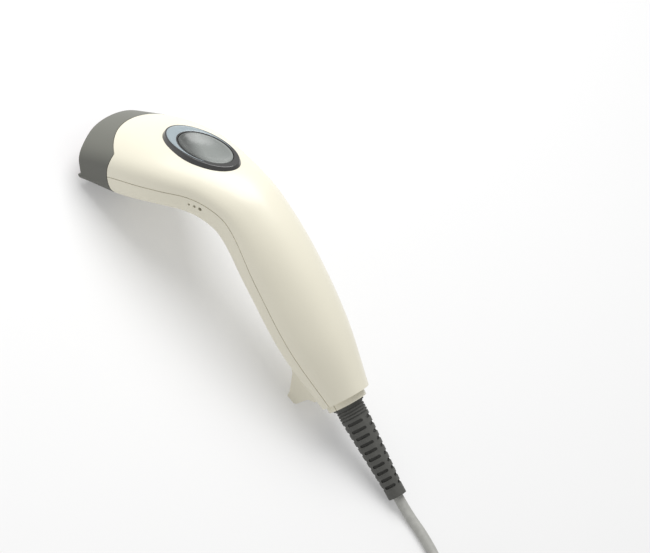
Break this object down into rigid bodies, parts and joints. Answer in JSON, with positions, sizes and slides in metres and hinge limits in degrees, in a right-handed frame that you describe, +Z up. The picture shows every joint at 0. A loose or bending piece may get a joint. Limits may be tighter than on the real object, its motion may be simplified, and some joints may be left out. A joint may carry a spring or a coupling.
{
  "type": "handheld barcode scanner",
  "caption": "Bent handheld contact barcode scanner with an oval trigger button, a grey nose hood, a hanging hook, a slotted strain relief and a coiled USB cable.",
  "frame": {"origin": "middle of the scanner's footprint on the table, without the free cable", "axes": "+X from the nose towards the cable end, +Y across, +Z up from the table"},
  "size_m": [0.3756, 0.0808, 0.0685],
  "materials": {
    "shell_ivory": "satin moulded ABS, fine spark texture",
    "hood_grey": "matte moulded soft-touch grey",
    "window_red": "clear red acrylic",
    "foam_black": "closed-cell foam",
    "bezel_grey": "semi-gloss dark grey",
    "guide_clear": "frosted clear polycarbonate",
    "button_grey": "satin grey, dished",
    "black_plastic": "moulded black nylon",
    "white_plastic": "moulded white nylon",
    "board_green": "solder mask over glass fibre",
    "lamp_clear": "clear epoxy",
    "lamp_red": "red tinted epoxy",
    "lens_glass": "polished glass",
    "chip_black": "moulded epoxy",
    "ribbon_amber": "polyimide film",
    "plated_steel": "nickel plated",
    "wire_jackets": "coloured PVC, one colour a wire",
    "screw_steel": "zinc plated steel",
    "relief_grey": "matte moulded PVC",
    "cable_grey": "satin extruded PVC",
    "plug_grey": "matte moulded PVC"
  },
  "bodies": {
    "scanner": {"nose_hood": "hood_grey", "upper_housing": "shell_ivory", "lower_housing": "shell_ivory", "scan_window": "window_red", "window_gasket": "foam_black", "button_bezel": "bezel_grey", "light_guide": "guide_clear", "switch_body": "black_plastic", "switch_board": "board_green", "status_led": "lamp_clear", "optics_chassis": "black_plastic", "lens_barrel": "black_plastic", "lens": "lens_glass", "image_sensor": "chip_black", "sensor_board": "board_green", "led_board": "board_green", "illumination_leds": "lamp_red", "sensor_ribbon": "ribbon_amber", "ribbon_socket": "white_plastic", "main_board": "board_green", "decoder_chip": "chip_black", "memory_chip": "chip_black", "crystal": "plated_steel", "buzzer": "black_plastic", "cable_header": "white_plastic", "cable_plug": "white_plastic", "cable_wires": "wire_jackets", "housing_screws": "screw_steel", "board_screws": "screw_steel", "strain_relief": "relief_grey", "cable_lead": "cable_grey", "cord": "cable_grey", "cord_coil": "cable_grey", "cord_end": "cable_grey", "usb_plug_body": "plug_grey", "usb_plug_shell": "plated_steel", "usb_plug_insert": "white_plastic"},
    "trigger": {"trigger_button": "button_grey", "switch_plunger": "white_plastic"}
  },
  "joints": [
    {"name": "trigger_press", "type": "slide", "parent": "scanner", "child": "trigger", "axis": [0.4258, 0, -0.9048], "range_m": [0, 0.0007], "stiffness_N_per_m": 900, "springref_m": -0.0008}
  ]
}
